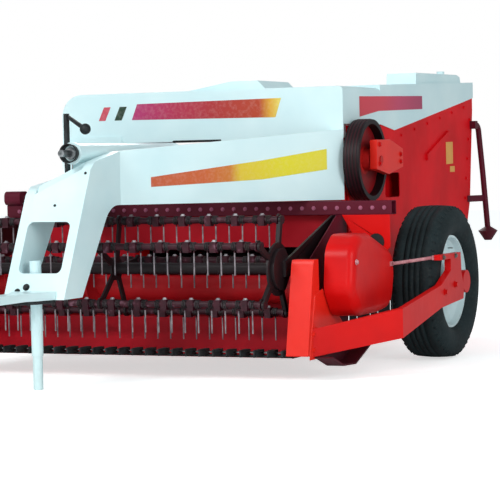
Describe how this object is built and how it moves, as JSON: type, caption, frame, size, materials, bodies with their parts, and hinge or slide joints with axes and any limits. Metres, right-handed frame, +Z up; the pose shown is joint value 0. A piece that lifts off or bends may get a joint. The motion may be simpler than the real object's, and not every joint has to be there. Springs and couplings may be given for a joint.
{
  "type": "straw reaper",
  "caption": "Trailed straw reaper with a gooseneck hitch, tined pickup reel, cutter bar, auger header, side drive tower and two road wheels.",
  "frame": {"origin": "on the ground, in the middle of the machine's length and width", "axes": "+Z up, the machine travels towards -Y, and +X is on the left of someone who faces that way"},
  "size_m": [2.684, 4.5549, 1.6393],
  "materials": {
    "white_enamel": "glossy white machine enamel with a faint cyan cast",
    "red_enamel": "glossy bright red machine enamel",
    "maroon_enamel": "dark red enamel worn and dusty",
    "dark_iron": "oily dark casting",
    "bare_steel": "worn bare steel",
    "tyre_rubber": "matte black rubber"
  },
  "bodies": {
    "root": {"beam_end_cap": "maroon_enamel", "beam_gusset": "maroon_enamel", "bearing_bracket": "red_enamel", "blower_housing": "red_enamel", "brace_rod": "red_enamel", "chassis_frame": "red_enamel", "cutter_guards": "bare_steel", "divider_left": "red_enamel", "divider_right": "red_enamel", "drive_guard": "red_enamel", "feed_throat": "red_enamel", "front_frame": "red_enamel", "front_hood": "white_enamel", "gearbox": "dark_iron", "gooseneck_left": "white_enamel", "gooseneck_right": "white_enamel", "header_back_wall": "maroon_enamel", "header_end_left": "maroon_enamel", "header_end_right": "maroon_enamel", "header_table": "maroon_enamel", "header_top_beam": "maroon_enamel", "hitch_cowl": "white_enamel", "hitch_lower_plate": "white_enamel", "hitch_upper_plate": "white_enamel", "jack_sleeve": "white_enamel", "outer_rail_left": "red_enamel", "outer_rail_right": "red_enamel", "outlet_duct": "red_enamel", "rear_tube": "maroon_enamel", "reel_arm_left": "maroon_enamel", "reel_arm_right": "maroon_enamel", "shaft_housing": "white_enamel", "shaft_rest": "dark_iron", "side_hood": "white_enamel", "side_tower": "red_enamel", "skid_left": "maroon_enamel", "skid_right": "maroon_enamel", "stub_axles": "dark_iron", "threshing_drum": "dark_iron", "threshing_housing": "red_enamel", "tongue": "white_enamel"},
    "wheel_left": {"tyre_left": "tyre_rubber", "rim_left": "white_enamel"},
    "wheel_right": {"tyre_right": "tyre_rubber", "rim_right": "white_enamel"},
    "reel": {"reel_spiders": "maroon_enamel"},
    "bat_1": {"reel_bat_1": "maroon_enamel"},
    "bat_2": {"reel_bat_2": "maroon_enamel"},
    "bat_3": {"reel_bat_3": "maroon_enamel"},
    "bat_4": {"reel_bat_4": "maroon_enamel"},
    "bat_5": {"reel_bat_5": "maroon_enamel"},
    "reel_cam": {"reel_cam_spider": "maroon_enamel"},
    "auger": {"auger": "red_enamel"},
    "knife": {"knife": "bare_steel"},
    "flywheel": {"flywheel": "red_enamel"},
    "input_shaft": {"input_shaft": "bare_steel"},
    "jack_leg": {"jack_leg": "white_enamel"}
  },
  "joints": [
    {"name": "wheel_left_spin", "type": "hinge", "parent": "root", "child": "wheel_left", "pos_m": [-1.165, 0.3225, 0.425], "axis": [1, 0, 0], "continuous": true},
    {"name": "wheel_right_spin", "type": "hinge", "parent": "root", "child": "wheel_right", "pos_m": [1.165, 0.3225, 0.425], "axis": [1, 0, 0], "continuous": true},
    {"name": "reel_spin", "type": "hinge", "parent": "root", "child": "reel", "pos_m": [0, -0.9275, 0.563], "axis": [1, 0, 0], "continuous": true},
    {"name": "bat_1_swivel", "type": "hinge", "parent": "reel", "child": "bat_1", "pos_m": [0, -1.14726, 0.68632], "axis": [1, 0, 0], "continuous": true},
    {"name": "bat_2_swivel", "type": "hinge", "parent": "reel", "child": "bat_2", "pos_m": [0, -0.87812, 0.81012], "axis": [1, 0, 0], "continuous": true},
    {"name": "bat_3_swivel", "type": "hinge", "parent": "reel", "child": "bat_3", "pos_m": [0, -0.67722, 0.5924], "axis": [1, 0, 0], "continuous": true},
    {"name": "bat_4_swivel", "type": "hinge", "parent": "reel", "child": "bat_4", "pos_m": [0, -0.8222, 0.33406], "axis": [1, 0, 0], "continuous": true},
    {"name": "bat_5_swivel", "type": "hinge", "parent": "reel", "child": "bat_5", "pos_m": [0, -1.1127, 0.3921], "axis": [1, 0, 0], "continuous": true},
    {"name": "reel_cam_spin", "type": "hinge", "parent": "root", "child": "reel_cam", "pos_m": [0, -0.9875, 0.563], "axis": [1, 0, 0], "continuous": true},
    {"name": "auger_spin", "type": "hinge", "parent": "root", "child": "auger", "pos_m": [0, -0.4175, 0.423], "axis": [1, 0, 0], "continuous": true},
    {"name": "knife_slide", "type": "slide", "parent": "root", "child": "knife", "axis": [1, 0, 0], "range_m": [-0.0381, 0.0381]},
    {"name": "flywheel_spin", "type": "hinge", "parent": "root", "child": "flywheel", "pos_m": [0, 0.0605, 1.101], "axis": [1, 0, 0], "continuous": true},
    {"name": "input_shaft_spin", "type": "hinge", "parent": "root", "child": "input_shaft", "pos_m": [-0.14, -1.3, 1.168], "axis": [0, 1, 0], "continuous": true},
    {"name": "jack_leg_slide", "type": "slide", "parent": "root", "child": "jack_leg", "axis": [0, 0, 1], "range_m": [0, 0.2]}
  ],
  "couplings": [
    {"joint": "bat_1_swivel", "follows": "reel_spin", "ratio": -1},
    {"joint": "bat_2_swivel", "follows": "reel_spin", "ratio": -1},
    {"joint": "bat_3_swivel", "follows": "reel_spin", "ratio": -1},
    {"joint": "bat_4_swivel", "follows": "reel_spin", "ratio": -1},
    {"joint": "bat_5_swivel", "follows": "reel_spin", "ratio": -1},
    {"joint": "reel_cam_spin", "follows": "reel_spin", "ratio": 1}
  ]
}
